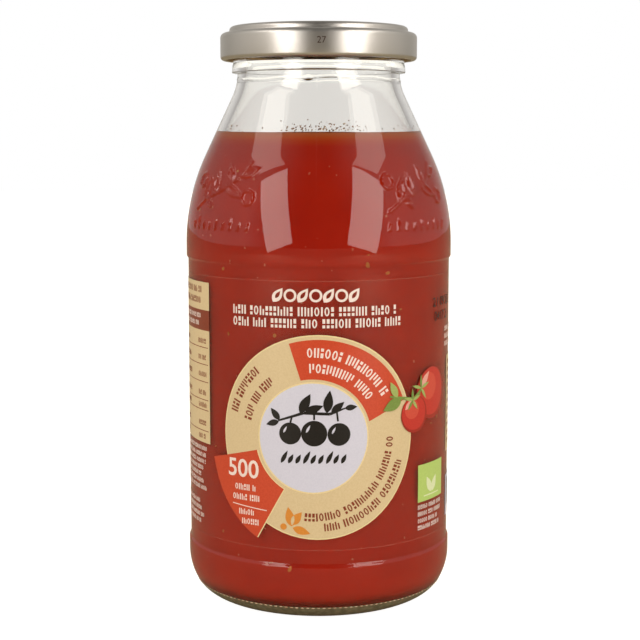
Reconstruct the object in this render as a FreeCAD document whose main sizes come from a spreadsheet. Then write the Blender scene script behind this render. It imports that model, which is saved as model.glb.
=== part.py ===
"""A bottle of tomato passata: a round clear glass bottle with a wide mouth, closed by a
tinplate twist-off lid, filled up to the shoulder, with a clear film label round its panel.

Millimetres.  +Z is up, the origin is the centre of the foot, and the label faces -Y.
"""
import FreeCAD, Part
import math
import os

import Sketcher

SIZES = {
    # the bottle, outside
    "bottle_height": 162.9,      # foot to rim
    "finish_height": 12.65,      # rim down to the underside of the neck ledge
    "body_radius": 38.1,         # the two bands that stand proud of the label panel
    "neck_radius": 23.13,
    "neck_round": 14.9,          # hollow curve where the neck meets the shoulder
    "shoulder_round": 59.9,      # full curve where the shoulder meets the body
    "shoulder_slope": 25.2,      # degrees from upright, between the two curves
    "upper_band": 3.1,
    "upper_ramp": 0.8,
    "panel_recess": 0.48,
    "lower_ramp": 1.8,
    "lower_band": 3.1,
    "heel_round": 16.7,
    "heel_turn": 28.0,           # degrees that the heel turns before the tighter foot curve
    "foot_round": 9.0,
    "foot_width": 2.2,           # flat ring that the bottle stands on
    "push_up": 2.0,              # rise of the underside at its centre
    # the bottle, inside
    "glass_wall": 2.4,
    "floor_thickness": 3.6,
    "floor_round": 9.0,
    # the finish, which the lid screws on
    "finish_step": 1.27,         # how far the finish stands out past the neck
    "ledge_reach": 0.3,
    "ledge_height": 2.5,
    "rim_round": 1.0,
    "thread_depth": 0.8,
    "thread_height": 1.6,
    "thread_turn": 60.0,         # degrees of one thread
    "starts": 4,                 # threads on the glass, and lugs on the lid
    "start_angle": -25.0,        # degrees from +X to the first of them
    # the contents
    "headspace": 29.5,           # rim down to the passata
    # the lid
    "sheet": 0.3,
    "lid_height": 9.5,
    "lid_round": 1.4,
    "ring_height": 1.8,          # ring that stands up from the lid's shoulder
    "ring_round": 1.1,
    "dish_drop": 1.3,            # the panel inside the ring lies this much lower
    "button_radius": 10.5,
    "button_rise": 0.4,
    "curl": 1.05,                # radius of the rolled edge
    "lug_lift": 0.2,
    "lug_height": 1.6,
    "lug_turn": 14.0,            # degrees of one lug
    # the label
    "film": 0.12,
    "film_margin": 3.4,          # bare panel above and below the film
    # clearances
    "bore_clearance": 0.4,       # lid's dish to the glass bore
    "ring_clearance": 0.7,       # lid's ring to the outside of the finish
    "curl_clearance": 0.65,      # rolled edge to the threads
    "lug_clearance": 0.35,       # lugs to the outside of the finish
    "thread_clearance": 0.3,     # lugs to the underside of the threads
}


class Length:
    """A length that knows its value and the sheet formula that gives it."""

    def __init__(self, value, formula):
        self.value = value
        self.formula = formula

    @staticmethod
    def of(other):
        if isinstance(other, Length):
            return other
        return Length(float(other), repr(other))

    def __add__(self, other):
        other = Length.of(other)
        return Length(self.value + other.value, f"({self.formula} + {other.formula})")

    def __sub__(self, other):
        other = Length.of(other)
        return Length(self.value - other.value, f"({self.formula} - {other.formula})")

    def __mul__(self, other):
        other = Length.of(other)
        return Length(self.value * other.value, f"({self.formula} * {other.formula})")

    def __truediv__(self, other):
        other = Length.of(other)
        return Length(self.value / other.value, f"({self.formula} / {other.formula})")

    def sin(self):
        return Length(math.sin(math.radians(self.value)), f"sin({self.formula})")

    def cos(self):
        return Length(math.cos(math.radians(self.value)), f"cos({self.formula})")

    def root(self):
        return Length(math.sqrt(self.value), f"sqrt({self.formula})")


class Sizes:
    """The sheet's sizes as lengths: size.body_radius and so on."""

    def __init__(self, sheet):
        for row, (alias, value) in enumerate(SIZES.items(), start=1):
            sheet.set(f"A{row}", alias)
            sheet.set(f"B{row}", str(value))
            sheet.setAlias(f"B{row}", alias)
            setattr(self, alias, Length(value, f"{sheet.Name}.{alias}"))


def sagitta_radius(half_chord, rise):
    """Radius of the arc over a chord, from its rise in the middle."""
    return (half_chord * half_chord + rise * rise) / (rise * 2)


# ---------------------------------------------------------------- sketches

HORIZONTAL_AXIS = -1
VERTICAL_AXIS = -2
START = 1
END = 2


def origin_part(body, role):
    return next(item for item in body.Origin.OriginFeatures if item.Role == role)


def pin(sketch, edge, end, place):
    """Hold one end of an edge at a radius and a height, each bound to the sheet."""
    for kind, length, axis in (("DistanceX", place[0], VERTICAL_AXIS),
                               ("DistanceY", place[1], HORIZONTAL_AXIS)):
        if abs(length.value) < 1e-9:
            sketch.addConstraint(Sketcher.Constraint("PointOnObject", edge, end, axis))
            continue
        name = f"{kind}_{edge}"
        row = sketch.addConstraint(
            Sketcher.Constraint(kind, HORIZONTAL_AXIS, START, edge, end, length.value))
        sketch.renameConstraint(row, name)
        sketch.setExpression(f"Constraints.{name}", length.formula)


def outline(body, name, corners):
    """A closed sketch in the XZ plane.  A corner is (radius, height), reached by a straight
    line, or (radius, height, centre, arc radius, turn), reached by an arc round that centre,
    anticlockwise where turn is 1 and clockwise where it is -1."""
    sketch = body.newObject("Sketcher::SketchObject", name)
    sketch.AttachmentSupport = (origin_part(body, "XZ_Plane"), [""])
    sketch.MapMode = "FlatFace"
    ends = []
    before = corners[-1]
    for edge, corner in enumerate(corners):
        start = FreeCAD.Vector(before[0].value, before[1].value, 0)
        finish = FreeCAD.Vector(corner[0].value, corner[1].value, 0)
        if len(corner) == 2:
            sketch.addGeometry(Part.LineSegment(start, finish), False)
            ends.append((START, END))
        else:
            centre = FreeCAD.Vector(corner[2][0].value, corner[2][1].value, 0)
            circle = Part.Circle(centre, FreeCAD.Vector(0, 0, 1), corner[3].value)
            sweep = (start, finish) if corner[4] > 0 else (finish, start)
            angles = [math.atan2(point.y - centre.y, point.x - centre.x) for point in sweep]
            sketch.addGeometry(Part.ArcOfCircle(circle, angles[0], angles[1]), False)
            ends.append((START, END) if corner[4] > 0 else (END, START))
        before = corner
    for edge in range(len(corners)):
        following = (edge + 1) % len(corners)
        sketch.addConstraint(Sketcher.Constraint(
            "Coincident", edge, ends[edge][1], following, ends[following][0]))
    for edge, corner in enumerate(corners):
        pin(sketch, edge, ends[edge][1], corner)
        if len(corner) > 2:
            label = f"Round_{edge}"
            row = sketch.addConstraint(Sketcher.Constraint("Radius", edge, corner[3].value))
            sketch.renameConstraint(row, label)
            sketch.setExpression(f"Constraints.{label}", corner[3].formula)
    return sketch


def new_body(document, node, turn=None):
    """An empty body whose label is the node's name, turned about Z where turn is given."""
    body = document.addObject("PartDesign::Body", node)
    body.Label = node
    if turn is not None:
        body.setExpression("Placement.Rotation.Angle", turn.formula)
        body.Placement = FreeCAD.Placement(
            FreeCAD.Vector(), FreeCAD.Rotation(FreeCAD.Vector(0, 0, 1), turn.value))
    return body


def turned(body, kind, name, corners, angle=None):
    """A Revolution or a Groove of an outline about Z, whole or through an angle."""
    sketch = outline(body, name + "Outline", corners)
    feature = body.newObject(f"PartDesign::{kind}", name)
    feature.Profile = sketch
    feature.ReferenceAxis = (sketch, ["V_Axis"])
    feature.Angle = 360.0
    if angle is not None:
        feature.Midplane = True
        feature.setExpression("Angle", angle.formula)
    return feature


def repeat(body, feature, name, count):
    """Copies of a feature, evenly spaced about Z."""
    pattern = body.newObject("PartDesign::PolarPattern", name)
    pattern.Originals = [feature]
    pattern.Axis = (origin_part(body, "Z_Axis"), [""])
    pattern.Angle = 360.0
    pattern.setExpression("Occurrences", count.formula)
    body.Tip = pattern
    return pattern


# ---------------------------------------------------------------- places that pieces share

class Places:
    """Heights and radii that more than one sub-part uses."""

    def __init__(self, size):
        self.zero = Length(0.0, "0")
        slope = size.shoulder_slope
        fall = Length(1.0, "1") - slope.cos()
        self.ledge = size.bottle_height - size.finish_height
        self.neck_end = size.neck_radius + size.neck_round * fall
        self.neck_end_height = self.ledge - size.neck_round * slope.sin()
        self.shoulder_end = size.body_radius - size.shoulder_round * fall
        run = (self.shoulder_end - self.neck_end) * slope.cos() / slope.sin()
        self.shoulder_end_height = self.neck_end_height - run
        self.shoulder_height = self.shoulder_end_height - size.shoulder_round * slope.sin()
        self.panel_radius = size.body_radius - size.panel_recess
        self.panel_top = self.shoulder_height - size.upper_band - size.upper_ramp
        self.heel_height = (size.foot_round
                            + (size.heel_round - size.foot_round) * size.heel_turn.sin())
        self.band_top = self.heel_height + size.lower_band
        self.panel_bottom = self.band_top + size.lower_ramp
        self.bore = size.neck_radius - size.glass_wall
        self.fill = size.bottle_height - size.headspace
        self.lid_top = size.bottle_height + size.sheet
        self.lid_bottom = self.lid_top - size.lid_height
        self.finish_radius = size.neck_radius + size.finish_step
        self.lid_radius = (self.finish_radius + size.thread_depth
                           + size.curl_clearance + size.curl * 2)
        self.lug_top = self.lid_bottom + size.lug_lift + size.lug_height


# ---------------------------------------------------------------- the glass bottle

def bottle_outside(size, at):
    """Corners of the outside, from the middle of the underside up to the rim."""
    turn = size.heel_turn
    heel_centre = size.body_radius - size.heel_round
    foot = heel_centre + (size.heel_round - size.foot_round) * turn.cos()
    inner_foot = foot - size.foot_width
    dome = sagitta_radius(inner_foot, size.push_up)
    neck_centre = (size.neck_radius + size.neck_round, at.ledge)
    shoulder_centre = (size.body_radius - size.shoulder_round, at.shoulder_height)
    ledge_radius = at.finish_radius + size.ledge_reach
    return [
        (at.zero, size.push_up),
        (inner_foot, at.zero, (at.zero, size.push_up - dome), dome, -1),
        (foot, at.zero),
        (foot + size.foot_round * turn.cos(), size.foot_round - size.foot_round * turn.sin(),
         (foot, size.foot_round), size.foot_round, 1),
        (size.body_radius, at.heel_height, (heel_centre, at.heel_height), size.heel_round, 1),
        (size.body_radius, at.band_top),
        (at.panel_radius, at.panel_bottom),
        (at.panel_radius, at.panel_top),
        (size.body_radius, at.panel_top + size.upper_ramp),
        (size.body_radius, at.shoulder_height),
        (at.shoulder_end, at.shoulder_end_height, shoulder_centre, size.shoulder_round, 1),
        (at.neck_end, at.neck_end_height),
        (size.neck_radius, at.ledge, neck_centre, size.neck_round, -1),
        (ledge_radius, at.ledge),
        (at.finish_radius, at.ledge + size.ledge_height),
        (at.finish_radius, size.bottle_height),
        (at.zero, size.bottle_height),
    ]


def bottle_inside(size, at):
    """Corners of the inside, from the middle of the floor up to where the neck is straight."""
    wall = size.glass_wall
    slope = size.shoulder_slope
    heel_centre = size.body_radius - wall - size.floor_round
    dome = sagitta_radius(heel_centre, size.push_up)
    heel_end = size.floor_thickness + size.floor_round
    shoulder_centre = (size.body_radius - size.shoulder_round, at.shoulder_height)
    neck_centre = (size.neck_radius + size.neck_round, at.ledge)
    return [
        (at.zero, size.floor_thickness + size.push_up),
        (heel_centre, size.floor_thickness,
         (at.zero, size.floor_thickness + size.push_up - dome), dome, -1),
        (size.body_radius - wall, heel_end, (heel_centre, heel_end), size.floor_round, 1),
        (size.body_radius - wall, at.shoulder_height),
        (at.shoulder_end - wall * slope.cos(), at.shoulder_end_height - wall * slope.sin(),
         shoulder_centre, size.shoulder_round - wall, 1),
        (at.neck_end - wall * slope.cos(), at.neck_end_height - wall * slope.sin()),
        (at.bore, at.ledge, neck_centre, size.neck_round + wall, -1),
    ]


def make_bottle(document, size, at):
    """Clear glass: turned outside, hollowed, with a rounded rim and four threads."""
    body = new_body(document, "glass_bottle", size.start_angle)
    turned(body, "Revolution", "Outside", bottle_outside(size, at))
    above = size.bottle_height + size.rim_round
    hollow = bottle_inside(size, at) + [(at.bore, above), (at.zero, above)]
    inside = turned(body, "Groove", "Inside", hollow)
    document.recompute()
    rim = [f"Edge{number}" for number, edge in enumerate(inside.Shape.Edges, start=1)
           if abs(edge.BoundBox.ZMin - size.bottle_height.value) < 1e-6
           and edge.BoundBox.ZLength < 1e-6]
    rounded = body.newObject("PartDesign::Fillet", "Rim")
    rounded.Base = (inside, rim)
    rounded.setExpression("Radius", size.rim_round.formula)
    document.recompute()
    low = at.lug_top + size.thread_clearance
    outer = at.finish_radius + size.thread_depth
    inner = at.finish_radius - size.thread_depth
    ridge = [
        (inner, low),
        (outer, low),
        (outer, low + size.thread_height / 2),
        (at.finish_radius, low + size.thread_height),
        (inner, low + size.thread_height),
    ]
    thread = turned(body, "Revolution", "Thread", ridge, size.thread_turn)
    repeat(body, thread, "Threads", size.starts)
    return body


# ---------------------------------------------------------------- the passata

def make_passata(document, size, at):
    """The sauce, which fills the inside of the glass up to its level on the shoulder."""
    body = new_body(document, "passata")
    full = body.newObject("PartDesign::Revolution", "Full")
    sketch = outline(body, "FullOutline", bottle_inside(size, at) + [(at.zero, at.ledge)])
    full.Profile = sketch
    full.ReferenceAxis = (sketch, ["V_Axis"])
    full.Angle = 360.0
    wide = size.body_radius * 2
    above = [
        (at.zero, at.fill),
        (wide, at.fill),
        (wide, size.bottle_height),
        (at.zero, size.bottle_height),
    ]
    turned(body, "Groove", "Level", above)
    return body


# ---------------------------------------------------------------- the lid

def make_lid(document, size, at):
    """Tinplate twist-off lid: a dished panel, a raised ring, a skirt with a rolled edge
    and four lugs that grip under the threads."""
    body = new_body(document, "lid", size.start_angle)
    sheet = size.sheet
    top = at.lid_top
    shoulder = top - size.ring_height
    ring = at.finish_radius + size.ring_clearance + sheet
    dish = at.bore - size.bore_clearance - sheet
    dish_height = top - size.dish_drop
    crest_height = top - size.ring_round
    outer_centre = (ring - size.ring_round, crest_height)
    inner_centre = (dish + size.ring_round, crest_height)
    skirt_centre = (at.lid_radius - size.lid_round, shoulder - size.lid_round)
    curl_centre = (at.lid_radius - size.curl, at.lid_bottom + size.curl)
    button = sagitta_radius(size.button_radius, size.button_rise)
    button_base = dish_height + size.button_rise
    reach = size.curl - sheet
    meet = curl_centre[1] + (size.curl * size.curl - reach * reach).root()
    profile = [
        (at.zero, button_base - sheet,
         (at.zero, button_base - sheet - button), button, 1),
        (at.zero, button_base),
        (size.button_radius, dish_height, (at.zero, button_base - button), button, -1),
        (dish, dish_height),
        (dish, crest_height),
        (inner_centre[0], top, inner_centre, size.ring_round, -1),
        (outer_centre[0], top),
        (ring, crest_height, outer_centre, size.ring_round, -1),
        (ring, shoulder),
        (skirt_centre[0], shoulder),
        (at.lid_radius, skirt_centre[1], skirt_centre, size.lid_round, -1),
        (at.lid_radius, curl_centre[1]),
        (at.lid_radius - sheet, meet, curl_centre, size.curl, -1),
        (at.lid_radius - sheet, skirt_centre[1]),
        (skirt_centre[0], shoulder - sheet, skirt_centre, size.lid_round - sheet, 1),
        (ring - sheet, shoulder - sheet),
        (ring - sheet, crest_height),
        (outer_centre[0], top - sheet, outer_centre, size.ring_round - sheet, 1),
        (inner_centre[0], top - sheet),
        (dish + sheet, crest_height, inner_centre, size.ring_round - sheet, 1),
        (dish + sheet, dish_height - sheet),
        (size.button_radius, dish_height - sheet),
    ]
    turned(body, "Revolution", "Shell", profile)
    lug_inner = at.finish_radius + size.lug_clearance
    lug_bottom = at.lid_bottom + size.lug_lift
    tab = [
        (lug_inner, lug_bottom),
        (curl_centre[0], lug_bottom),
        (curl_centre[0], at.lug_top),
        (lug_inner, at.lug_top),
    ]
    lug = turned(body, "Revolution", "Lug", tab, size.lug_turn)
    repeat(body, lug, "Lugs", size.starts)
    return body


# ---------------------------------------------------------------- the label

def make_label(document, size, at):
    """A sleeve of clear film round the recessed panel."""
    body = new_body(document, "label_film")
    outer = at.panel_radius + size.film
    low = at.panel_bottom + size.film_margin
    high = at.panel_top - size.film_margin
    sleeve = [
        (at.panel_radius, low),
        (outer, low),
        (outer, high),
        (at.panel_radius, high),
    ]
    turned(body, "Revolution", "Sleeve", sleeve)
    return body


# ---------------------------------------------------------------- build, check and write

def check(document, bodies):
    """Stop where a feature failed or a sub-part has no valid single solid."""
    for item in document.Objects:
        if "Invalid" in item.State or "Error" in item.State:
            raise RuntimeError(f"{item.Name} failed: {item.State}")
    for body in bodies:
        shape = body.Shape
        if shape.isNull() or not shape.isValid() or len(shape.Solids) != 1:
            raise RuntimeError(f"{body.Label} is not one valid solid")


def main():
    document = FreeCAD.newDocument("PassataBottle")
    sheet = document.addObject("Spreadsheet::Sheet", "Sizes")
    size = Sizes(sheet)
    document.recompute()
    at = Places(size)
    bodies = [
        make_bottle(document, size, at),
        make_passata(document, size, at),
        make_lid(document, size, at),
        make_label(document, size, at),
    ]
    document.recompute()
    check(document, bodies)
    os.makedirs("parts", exist_ok=True)
    for body in bodies:
        body.Shape.exportStep(f"parts/{body.Label}.step")
        box = body.Shape.BoundBox
        print(f"{body.Label}: {body.Shape.Volume / 1000:.1f} cm3, "
              f"z {box.ZMin:.2f} to {box.ZMax:.2f}")


main()
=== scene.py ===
"""Looks of a glass bottle of tomato passata with a twist-off lid and a printed film label.

Sizes are millimetres until a mesh is made.  Angles are degrees.  On the label and on the
glass, a place is (across, up): the distance along the curve from the front, to the right
where positive, and the height above the foot.
"""
import math
import random

import bmesh
import bpy
import numpy as np
from mathutils import Matrix, Vector


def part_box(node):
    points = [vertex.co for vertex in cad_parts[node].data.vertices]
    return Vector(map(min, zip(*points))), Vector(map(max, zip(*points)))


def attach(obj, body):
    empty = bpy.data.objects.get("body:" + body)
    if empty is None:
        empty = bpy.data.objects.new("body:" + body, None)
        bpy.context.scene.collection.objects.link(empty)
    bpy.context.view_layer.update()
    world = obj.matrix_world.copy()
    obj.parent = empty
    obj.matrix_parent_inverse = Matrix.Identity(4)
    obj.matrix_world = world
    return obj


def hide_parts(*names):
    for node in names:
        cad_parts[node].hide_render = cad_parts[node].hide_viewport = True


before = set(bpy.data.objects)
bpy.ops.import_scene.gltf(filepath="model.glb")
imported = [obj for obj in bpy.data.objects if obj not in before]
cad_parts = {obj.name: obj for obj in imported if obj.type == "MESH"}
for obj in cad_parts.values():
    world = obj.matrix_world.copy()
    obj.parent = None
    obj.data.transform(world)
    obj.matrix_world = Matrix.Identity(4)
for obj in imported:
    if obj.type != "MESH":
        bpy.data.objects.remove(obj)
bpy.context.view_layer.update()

MM = 0.001
BODY = "root"

# ---------------------------------------------------------------- sizes of the bottle

NODES = ("glass_bottle", "passata", "lid", "label_film")
NODE_FOOT = {name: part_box(name)[0].z / MM for name in NODES}
NODE_TOP = {name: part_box(name)[1].z / MM for name in NODES}

RIM = NODE_TOP["glass_bottle"]
FINISH_HEIGHT = 12.65
LEDGE = RIM - FINISH_HEIGHT
BODY_RADIUS = 38.1
NECK_RADIUS = 23.13
NECK_ROUND = 14.9
SHOULDER_ROUND = 59.9
SHOULDER_SLOPE = 25.2
UPPER_BAND = 3.1
UPPER_RAMP = 0.8
PANEL_DEPTH = 0.48
PANEL_RADIUS = BODY_RADIUS - PANEL_DEPTH
LOWER_BAND = 3.1
HEEL_ROUND = 16.7
HEEL_TURN = 28.0
FOOT_ROUND = 9.0
FOOT_WIDTH = 2.2
PUSH_UP = 2.0
WALL = 2.4
FLOOR = NODE_FOOT["passata"]
FLOOR_ROUND = 9.0
KNURLED = 4.2         # the foot is roughened, and painted dark as shade, up to this height
WET = 0.35            # how far the passata reaches into the wall, so that no gap shows
FINISH_RADIUS = 24.4
LEDGE_REACH = 0.3
LEDGE_HEIGHT = 2.5
RIM_ROUND = 1.0
FILL = NODE_TOP["passata"]
LID_TOP = NODE_TOP["lid"]
LID_FOOT = NODE_FOOT["lid"]
LID_RADIUS = 27.95
SHEET = 0.3

SLOPE_SIN = math.sin(math.radians(SHOULDER_SLOPE))
SLOPE_COS = math.cos(math.radians(SHOULDER_SLOPE))
NECK_END = (NECK_RADIUS + NECK_ROUND * (1 - SLOPE_COS), LEDGE - NECK_ROUND * SLOPE_SIN)
SHOULDER_END_RADIUS = BODY_RADIUS - SHOULDER_ROUND * (1 - SLOPE_COS)
SHOULDER_END = (SHOULDER_END_RADIUS,
                NECK_END[1] - (SHOULDER_END_RADIUS - NECK_END[0]) * SLOPE_COS / SLOPE_SIN)
SHOULDER = SHOULDER_END[1] - SHOULDER_ROUND * SLOPE_SIN
PANEL_TOP = SHOULDER - UPPER_BAND - UPPER_RAMP
PARTING = 148.2       # where the neck mould meets the body mould
HEEL = FOOT_ROUND + (HEEL_ROUND - FOOT_ROUND) * math.sin(math.radians(HEEL_TURN))
BAND_TOP = HEEL + LOWER_BAND


# ---------------------------------------------------------------- outlines

def arc(centre, radius, start, end, steps):
    """Points round a centre from one angle to another, both ends included."""
    angles = [math.radians(start + (end - start) * k / steps) for k in range(steps + 1)]
    return [(centre[0] + radius * math.cos(a), centre[1] + radius * math.sin(a)) for a in angles]


def dome(half_chord, base, rise, steps):
    """Points of a shallow dome from its top on the axis out to its edge."""
    radius = (half_chord ** 2 + rise ** 2) / (2 * rise)
    edge = math.degrees(math.asin(half_chord / radius))
    return arc((0, base + rise - radius), radius, 90, 90 - edge, steps)


def divided(points, spacing):
    """The same outline with its long runs divided, so that no run is over the spacing."""
    result = [points[0]]
    for start, end in zip(points, points[1:]):
        length = math.dist(start, end)
        if length < 1e-6:
            continue
        parts = max(1, math.ceil(length / spacing))
        result += [tuple(a + (b - a) * k / parts for a, b in zip(start, end))
                   for k in range(1, parts + 1)]
    return result


def step(start, end, low, rise):
    """An S-shaped step from one radius to another."""
    return [(start + (end - start) * (1 - math.cos(math.pi * k / 10)) / 2, low + rise * k / 10)
            for k in range(11)]


def bottle_outside():
    """From the middle of the underside up to the rim."""
    heel_centre = BODY_RADIUS - HEEL_ROUND
    foot = heel_centre + (HEEL_ROUND - FOOT_ROUND) * math.cos(math.radians(HEEL_TURN))
    low = (dome(foot - FOOT_WIDTH, 0, PUSH_UP, 12)
           + arc((foot, FOOT_ROUND), FOOT_ROUND, -90, -HEEL_TURN, 26)
           + arc((heel_centre, HEEL), HEEL_ROUND, -HEEL_TURN, 0, 14)[1:])
    panel = (step(BODY_RADIUS, PANEL_RADIUS, BAND_TOP + 0.3, 1.2)
             + step(PANEL_RADIUS, BODY_RADIUS, PANEL_TOP - 0.1, UPPER_RAMP + 0.2)
             + [(BODY_RADIUS, SHOULDER)])
    shoulder = (arc((BODY_RADIUS - SHOULDER_ROUND, SHOULDER), SHOULDER_ROUND, 0, SHOULDER_SLOPE, 60)
                + arc((NECK_RADIUS + NECK_ROUND, LEDGE), NECK_ROUND, 180 + SHOULDER_SLOPE, 180, 14))
    bead = FINISH_RADIUS + LEDGE_REACH
    finish = ([(bead - 0.2, LEDGE)] + arc((bead - 0.2, LEDGE + 0.2), 0.2, -90, 0, 4)
              + [(bead - 0.14, LEDGE + 2.0), (bead - 0.22, LEDGE + 2.3),
                 (FINISH_RADIUS, LEDGE + LEDGE_HEIGHT)])
    straight = divided([finish[-1], (FINISH_RADIUS, RIM - RIM_ROUND)], 0.35)
    rim = arc((FINISH_RADIUS - RIM_ROUND, RIM - RIM_ROUND), RIM_ROUND, 0, 90, 6)
    return (low + divided([low[-1]] + panel, 4.0)[1:]
            + divided([panel[-1]] + shoulder, 0.42)[1:] + finish + straight[1:] + rim[1:])


def bottle_inside(swell=0.0):
    """From the middle of the floor up to the straight neck, swollen into the wall."""
    wall = WALL - swell
    centre = BODY_RADIUS - WALL - FLOOR_ROUND
    floor = FLOOR - swell
    return (dome(centre, floor, PUSH_UP, 10)
            + arc((centre, FLOOR + FLOOR_ROUND), FLOOR_ROUND + swell, -90, 0, 14)
            + arc((BODY_RADIUS - SHOULDER_ROUND, SHOULDER), SHOULDER_ROUND - wall,
                  0, SHOULDER_SLOPE, 24)
            + arc((NECK_RADIUS + NECK_ROUND, LEDGE), NECK_ROUND + wall,
                  180 + SHOULDER_SLOPE, 180, 10))


OUTSIDE = bottle_outside()
OUTSIDE_ROWS = len(OUTSIDE)


# ---------------------------------------------------------------- flat shapes

def circle(centre, radius, steps=72):
    """A closed round outline."""
    return arc(centre, radius, 0, 360, steps)[:-1]


def sector(centre, inner, outer, start, end):
    """A piece of a ring."""
    return arc(centre, outer, start, end, 24) + arc(centre, inner, end, start, 24)


def box(left, right, low, high):
    """An upright rectangle."""
    return [(left, low), (right, low), (right, high), (left, high)]


def moved(outline, centre, turn):
    """An outline turned about the origin, then moved."""
    cos, sin = math.cos(math.radians(turn)), math.sin(math.radians(turn))
    return [(centre[0] + x * cos - y * sin, centre[1] + x * sin + y * cos) for x, y in outline]


def leaf(length, width, steps=10):
    """A pointed leaf from the origin along +X."""
    upper = [(length * k / steps, width / 2 * math.sin(math.pi * (k / steps) ** 0.8))
             for k in range(steps + 1)]
    return upper + [(x, -y) for x, y in upper[-2:0:-1]]


# ---------------------------------------------------------------- making pieces

def place_piece(piece, slot, *nodes):
    """A piece of the bottle: it rides on the body and may stand for CAD nodes."""
    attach(piece, BODY)
    for name in nodes:
        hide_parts(name)
    return piece


def new_object(name, mesh, materials, sharp=35):
    """An object of this mesh, smooth except where faces meet at more than the angle."""
    for material in materials:
        mesh.materials.append(material)
    mesh.polygons.foreach_set("use_smooth", [True] * len(mesh.polygons))
    mesh.set_sharp_from_angle(angle=math.radians(sharp))
    piece = bpy.data.objects.new(name, mesh)
    bpy.context.scene.collection.objects.link(piece)
    return piece


def evenly(count):
    """This many angles round the axis."""
    return np.arange(count) * 2 * math.pi / count


def turned(name, outline, angles, materials, swell=None, paint=None, sharp=35):
    """A closed piece turned about Z from an outline of (radius, height).  An end on the axis
    becomes one point.  swell(angles, height, row) moves a ring's points outwards, and
    paint(row) gives a ring's material."""
    rows = np.array(outline, float)
    segments = len(angles)
    points = []
    rings = []
    for row, (radius, height) in enumerate(rows):
        first = len(points)
        if radius < 1e-6:
            points.append((0.0, 0.0, height))
            rings.append([first] * segments)
            continue
        reach = np.full(segments, radius)
        if swell is not None:
            reach = reach + swell(angles, height, row)
        points += list(zip(reach * np.sin(angles), -reach * np.cos(angles),
                           np.full(segments, height)))
        rings.append(list(range(first, first + segments)))
    if rows[0][0] > 1e-6:
        rings.append(rings[0])
    faces = []
    finish = []
    for row, (low, high) in enumerate(zip(rings, rings[1:])):
        for k in range(segments):
            after = (k + 1) % segments
            corners = [low[k], low[after], high[after], high[k]]
            faces.append([c for n, c in enumerate(corners) if c not in corners[:n]])
            finish.append(paint(row) if paint else 0)
    mesh = bpy.data.meshes.new(name)
    mesh.from_pydata([tuple(c * MM for c in p) for p in points], [], faces)
    mesh.polygons.foreach_set("material_index", finish)
    mesh.validate()
    return new_object(name, mesh, materials, sharp)


# ---------------------------------------------------------------- materials

def linear(code):
    """An sRGB hex colour as the linear colour that a shader takes."""
    parts = [int(code[k:k + 2], 16) / 255 for k in (1, 3, 5)]
    return tuple(c / 12.92 if c <= 0.04045 else ((c + 0.055) / 1.055) ** 2.4
                 for c in parts) + (1.0,)


def add(tree, kind, settings=None, **sockets):
    """Adds a node.  settings are its properties, and a socket gets a value or a link.  A
    socket goes by its name, or by its number after an underscore."""
    node = tree.nodes.new(kind)
    for name, value in (settings or {}).items():
        setattr(node, name, value)
    for name, value in sockets.items():
        place = int(name[1:]) if name[1:].isdigit() else name.replace("_", " ")
        socket = node.inputs[place]
        if isinstance(value, bpy.types.NodeSocket):
            tree.links.new(value, socket)
        else:
            socket.default_value = value
    return node


def principled(name, **sockets):
    """A material whose one shader has these settings, and its node tree."""
    material = bpy.data.materials.new(name)
    material.use_nodes = True
    tree = material.node_tree
    tree.nodes.clear()
    shader = add(tree, "ShaderNodeBsdfPrincipled", **sockets)
    out = add(tree, "ShaderNodeOutputMaterial")
    tree.links.new(shader.outputs[0], out.inputs[0])
    return material, tree, shader


def grain(tree, size, detail=2.0):
    """Noise whose lumps are about this many millimetres across."""
    where = add(tree, "ShaderNodeTexCoord")
    return add(tree, "ShaderNodeTexNoise", Vector=where.outputs["Object"], Scale=1 / (size * MM),
               Detail=detail, Roughness=0.5).outputs["Fac"]


def shades(tree, factor, *stops):
    """A colour ramp of (place, hex) stops."""
    ramp = add(tree, "ShaderNodeValToRGB", Fac=factor)
    elements = ramp.color_ramp.elements
    while len(elements) < len(stops):
        elements.new(0.5)
    for element, (place, code) in zip(elements, stops):
        element.position = place
        element.color = linear(code)
    return ramp.outputs["Color"]


def spread(tree, factor, low, high):
    """A number that runs from low to high as the factor runs over its usual range."""
    return add(tree, "ShaderNodeMapRange", Value=factor, From_Min=0.3, From_Max=0.7,
               To_Min=low, To_Max=high).outputs[0]


def dents(tree, shader, factor, strength, depth):
    """Relief in millimetres from a factor."""
    bump = add(tree, "ShaderNodeBump", Height=factor, Strength=strength, Distance=depth * MM)
    tree.links.new(bump.outputs[0], shader.inputs["Normal"])


def soda_lime_glass():
    """Machine-blown flint glass: clear with a faint green cast, its skin slightly wavy."""
    material, tree, shader = principled(
        "soda_lime_glass", Base_Color=linear("#FCFDFB"), Roughness=0.02, IOR=1.52,
        Transmission_Weight=1.0)
    dents(tree, shader, grain(tree, 14, detail=1.0), 0.05, 0.25)
    return material


def knurled_glass_painted_shade():
    """The foot, roughened by fine knurling and by wear, and painted a dark grey-green as shade: the
    colour stands in for the shadowed floor seen through it.
    """
    material, tree, shader = principled("knurled_glass_painted_shade", Roughness=0.45, IOR=1.52,
                                        Transmission_Weight=0.15)
    # painted shade: this dark grey-green stands in for the shadowed floor seen in the foot
    tree.links.new(shades(tree, grain(tree, 1.5), (0.35, "#6E6850"), (0.65, "#8C8468")),
                   shader.inputs["Base Color"])
    return material


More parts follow.
